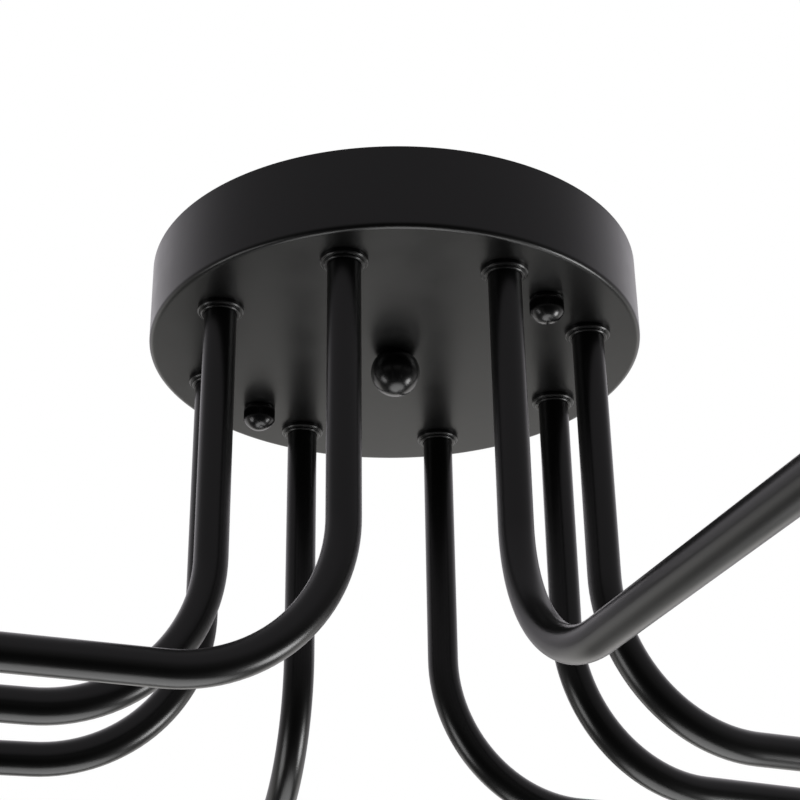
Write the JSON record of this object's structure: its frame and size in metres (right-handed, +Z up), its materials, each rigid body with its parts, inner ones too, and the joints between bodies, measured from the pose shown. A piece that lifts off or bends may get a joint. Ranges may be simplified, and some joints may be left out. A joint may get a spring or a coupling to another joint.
{
  "type": "semi-flush ceiling light",
  "caption": "Black semi-flush ceiling light: round canopy pan with swivelling bent tube arms that drop, turn level and end in screw lampholders.",
  "frame": {"origin": "centre of the crossbar's junction-box screw pattern, in the ceiling plane", "axes": "+Z up into the ceiling, X along the crossbar and the two cap nuts"},
  "size_m": [0.7189, 0.6606, 0.2181],
  "materials": {
    "black_paint": "satin",
    "black_lacquer": "gloss",
    "zinc_plate": "satin",
    "glazed_porcelain": "gloss",
    "shell_metal": "satin",
    "contact_brass": "polished",
    "lead_jacket": "satin",
    "block_plastic": "matte"
  },
  "bodies": {
    "root": {"canopy": "black_paint", "crossbar": "zinc_plate", "canopy_studs": "zinc_plate", "stud_nuts": "zinc_plate", "finial_screw": "zinc_plate", "arm_bushings": "black_paint", "bushing_nuts": "zinc_plate", "terminal_block": "block_plastic", "canopy_leads": "lead_jacket"},
    "cap_nut_left": {"cap_nut_left": "black_lacquer"},
    "cap_nut_right": {"cap_nut_right": "black_lacquer"},
    "ball_finial": {"ball_finial": "black_lacquer"},
    "arm_1": {"arm_tube_1": "black_paint", "arm_lead_1": "lead_jacket", "lamp_cup_1": "black_paint", "lampholder_1": "glazed_porcelain", "screw_shell_1": "shell_metal", "centre_contact_1": "contact_brass"},
    "arm_2": {"arm_tube_2": "black_paint", "arm_lead_2": "lead_jacket", "lamp_cup_2": "black_paint", "lampholder_2": "glazed_porcelain", "screw_shell_2": "shell_metal", "centre_contact_2": "contact_brass"},
    "arm_3": {"arm_tube_3": "black_paint", "arm_lead_3": "lead_jacket", "lamp_cup_3": "black_paint", "lampholder_3": "glazed_porcelain", "screw_shell_3": "shell_metal", "centre_contact_3": "contact_brass"},
    "arm_4": {"arm_tube_4": "black_paint", "arm_lead_4": "lead_jacket", "lamp_cup_4": "black_paint", "lampholder_4": "glazed_porcelain", "screw_shell_4": "shell_metal", "centre_contact_4": "contact_brass"},
    "arm_5": {"arm_tube_5": "black_paint", "arm_lead_5": "lead_jacket", "lamp_cup_5": "black_paint", "lampholder_5": "glazed_porcelain", "screw_shell_5": "shell_metal", "centre_contact_5": "contact_brass"},
    "arm_6": {"arm_tube_6": "black_paint", "arm_lead_6": "lead_jacket", "lamp_cup_6": "black_paint", "lampholder_6": "glazed_porcelain", "screw_shell_6": "shell_metal", "centre_contact_6": "contact_brass"},
    "arm_7": {"arm_tube_7": "black_paint", "arm_lead_7": "lead_jacket", "lamp_cup_7": "black_paint", "lampholder_7": "glazed_porcelain", "screw_shell_7": "shell_metal", "centre_contact_7": "contact_brass"},
    "arm_8": {"arm_tube_8": "black_paint", "arm_lead_8": "lead_jacket", "lamp_cup_8": "black_paint", "lampholder_8": "glazed_porcelain", "screw_shell_8": "shell_metal", "centre_contact_8": "contact_brass"}
  },
  "joints": [
    {"name": "arm_1_swivel", "type": "hinge", "parent": "root", "child": "arm_1", "pos_m": [0.03267, -0.07237, -0.035], "axis": [0, 0, 1], "range_deg": [-5, 60]},
    {"name": "arm_2_swivel", "type": "hinge", "parent": "root", "child": "arm_2", "pos_m": [-0.02807, -0.07427, -0.035], "axis": [0, 0, 1], "range_deg": [-8, 5]},
    {"name": "arm_3_swivel", "type": "hinge", "parent": "root", "child": "arm_3", "pos_m": [-0.07237, -0.03267, -0.035], "axis": [0, 0, 1], "range_deg": [-60, 8]},
    {"name": "arm_4_swivel", "type": "hinge", "parent": "root", "child": "arm_4", "pos_m": [-0.07427, 0.02807, -0.035], "axis": [0, 0, 1], "range_deg": [-45, 45]},
    {"name": "arm_5_swivel", "type": "hinge", "parent": "root", "child": "arm_5", "pos_m": [-0.03267, 0.07237, -0.035], "axis": [0, 0, 1], "range_deg": [0, 60]},
    {"name": "arm_6_swivel", "type": "hinge", "parent": "root", "child": "arm_6", "pos_m": [0.02807, 0.07427, -0.035], "axis": [0, 0, 1], "range_deg": [-6, 0]},
    {"name": "arm_7_swivel", "type": "hinge", "parent": "root", "child": "arm_7", "pos_m": [0.07237, 0.03267, -0.035], "axis": [0, 0, 1], "range_deg": [-60, 6]},
    {"name": "arm_8_swivel", "type": "hinge", "parent": "root", "child": "arm_8", "pos_m": [0.07427, -0.02807, -0.035], "axis": [0, 0, 1], "range_deg": [-45, 45]},
    {"name": "cap_nut_left_turn", "type": "hinge", "parent": "root", "child": "cap_nut_left", "pos_m": [-0.0745, 0, -0.04], "axis": [0, 0, 1], "continuous": true},
    {"name": "cap_nut_right_turn", "type": "hinge", "parent": "root", "child": "cap_nut_right", "pos_m": [0.0745, 0, -0.04], "axis": [0, 0, 1], "continuous": true},
    {"name": "ball_finial_turn", "type": "hinge", "parent": "root", "child": "ball_finial", "pos_m": [0, 0, -0.04], "axis": [0, 0, 1], "continuous": true}
  ]
}
